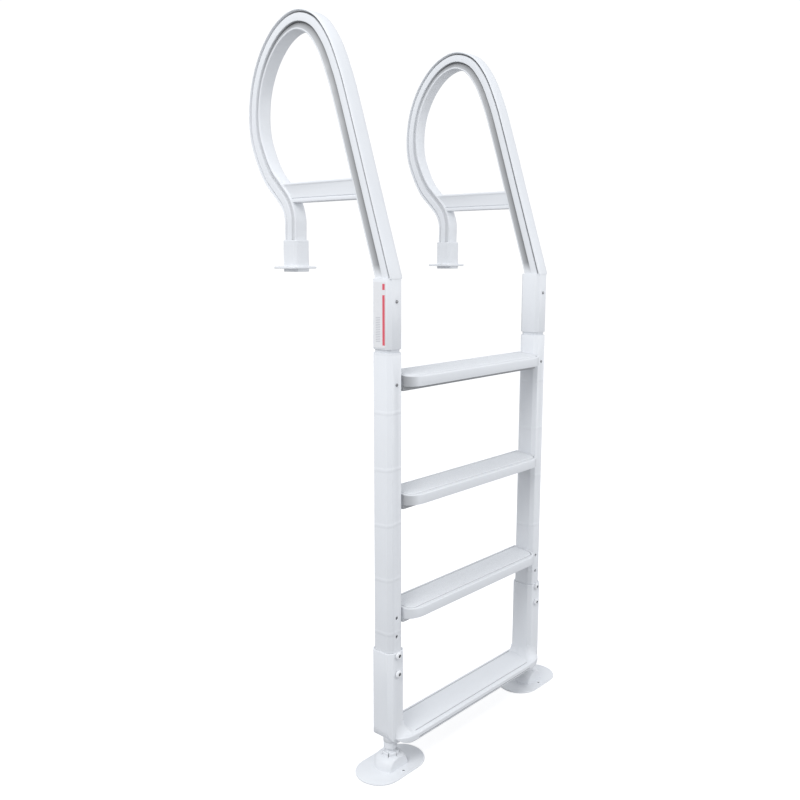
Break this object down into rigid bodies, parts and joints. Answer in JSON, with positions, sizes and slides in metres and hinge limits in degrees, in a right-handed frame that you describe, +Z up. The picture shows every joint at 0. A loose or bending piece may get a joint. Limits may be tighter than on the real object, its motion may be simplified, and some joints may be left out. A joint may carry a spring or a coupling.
{
  "type": "in-pool deck ladder",
  "caption": "In-pool deck ladder with looped handrails, straight legs, wide treads and a telescoping U-shaped lower frame on ball-jointed feet.",
  "frame": {"origin": "on the floor, under the middle of the whole ladder's footprint", "axes": "+X from the left leg to the right leg as seen from the pool, +Y towards the deck, +Z up"},
  "size_m": [0.852, 0.567, 1.9556],
  "materials": {
    "handrail_resin": "white blow-moulded resin, satin",
    "leg_resin": "white extruded resin, satin with faint witness lines",
    "coupler_resin": "white resin, satin",
    "flange_resin": "white injection-moulded resin",
    "tread_resin": "white resin with a fine anti-slip texture on the standing panel",
    "frame_resin": "white blow-moulded resin, satin",
    "foot_resin": "white injection-moulded resin",
    "bolt_resin": "white nylon, slightly glossy",
    "screw_steel": "stainless steel, dark in its recess",
    "sticker_film": "white printed film with a plain red bar, no lettering"
  },
  "bodies": {
    "upper_frame": {"left_handrail": "handrail_resin", "left_deck_flange": "flange_resin", "left_flange_screw": "screw_steel", "left_coupler": "coupler_resin", "left_handrail_screw": "screw_steel", "left_leg": "leg_resin", "left_tread_1_screw": "screw_steel", "left_tread_2_screw": "screw_steel", "left_tread_3_screw": "screw_steel", "right_handrail": "handrail_resin", "right_deck_flange": "flange_resin", "right_flange_screw": "screw_steel", "right_coupler": "coupler_resin", "right_handrail_screw": "screw_steel", "right_leg": "leg_resin", "right_tread_1_screw": "screw_steel", "right_tread_2_screw": "screw_steel", "right_tread_3_screw": "screw_steel", "tread_1": "tread_resin", "tread_2": "tread_resin", "tread_3": "tread_resin", "sticker": "sticker_film"},
    "lower_frame": {"lower_frame": "frame_resin", "left_lower_frame_bolt": "bolt_resin", "left_lower_frame_nut": "bolt_resin", "left_upper_frame_bolt": "bolt_resin", "left_upper_frame_nut": "bolt_resin", "right_lower_frame_bolt": "bolt_resin", "right_lower_frame_nut": "bolt_resin", "right_upper_frame_bolt": "bolt_resin", "right_upper_frame_nut": "bolt_resin"},
    "left_foot_swivel_body": {"left_foot_stem": "foot_resin"},
    "left_foot_body": {"left_foot_pad": "foot_resin"},
    "right_foot_swivel_body": {"right_foot_stem": "foot_resin"},
    "right_foot_body": {"right_foot_pad": "foot_resin"}
  },
  "joints": [
    {"name": "height_adjust", "type": "slide", "parent": "upper_frame", "child": "lower_frame", "axis": [0, 0, -1], "range_m": [0, 0.1016]},
    {"name": "left_foot_swivel", "type": "hinge", "parent": "lower_frame", "child": "left_foot_swivel_body", "pos_m": [-0.32, -0.2195, 0.073], "axis": [0, 0, 1], "continuous": true},
    {"name": "left_foot_tilt", "type": "hinge", "parent": "left_foot_swivel_body", "child": "left_foot_body", "pos_m": [-0.32, -0.2195, 0.037], "axis": [1, 0, 0], "range_deg": [-15, 15]},
    {"name": "right_foot_swivel", "type": "hinge", "parent": "lower_frame", "child": "right_foot_swivel_body", "pos_m": [0.32, -0.2195, 0.073], "axis": [0, 0, 1], "continuous": true},
    {"name": "right_foot_tilt", "type": "hinge", "parent": "right_foot_swivel_body", "child": "right_foot_body", "pos_m": [0.32, -0.2195, 0.037], "axis": [1, 0, 0], "range_deg": [-15, 15]}
  ]
}
